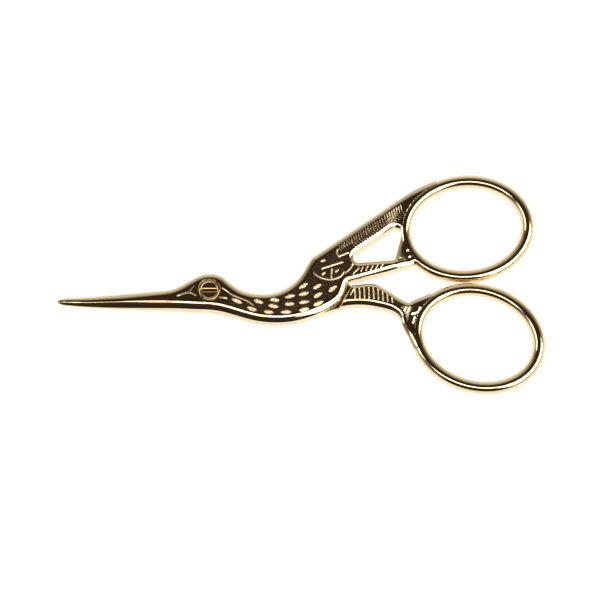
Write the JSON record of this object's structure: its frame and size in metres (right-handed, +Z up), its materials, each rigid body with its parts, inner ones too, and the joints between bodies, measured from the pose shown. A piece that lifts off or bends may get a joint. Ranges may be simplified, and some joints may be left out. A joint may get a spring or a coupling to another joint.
{
  "type": "embroidery scissors",
  "caption": "Small gold-coloured embroidery scissors shaped as a stork, with pointed beak blades, feathered body, an open triangular strut, finger rings and a slotted pivot screw.",
  "frame": {"origin": "on the pivot axis, in the plane on which the closed scissors lie", "axes": "+X from the pivot towards the finger rings, +Y towards the upper ring, +Z up out of the face with the screw's head"},
  "size_m": [0.0917, 0.0428, 0.0042],
  "materials": {
    "half_gold": "polished gold plating on steel",
    "screw_gold": "polished gold plating on steel"
  },
  "bodies": {
    "rear": {"rear_half": "half_gold", "pivot_screw": "screw_gold"},
    "front": {"front_half": "half_gold"}
  },
  "joints": [
    {"name": "pivot", "type": "hinge", "parent": "rear", "child": "front", "pos_m": [0, 0, 0.002], "axis": [0, 0, 1], "range_deg": [0, 150]}
  ]
}
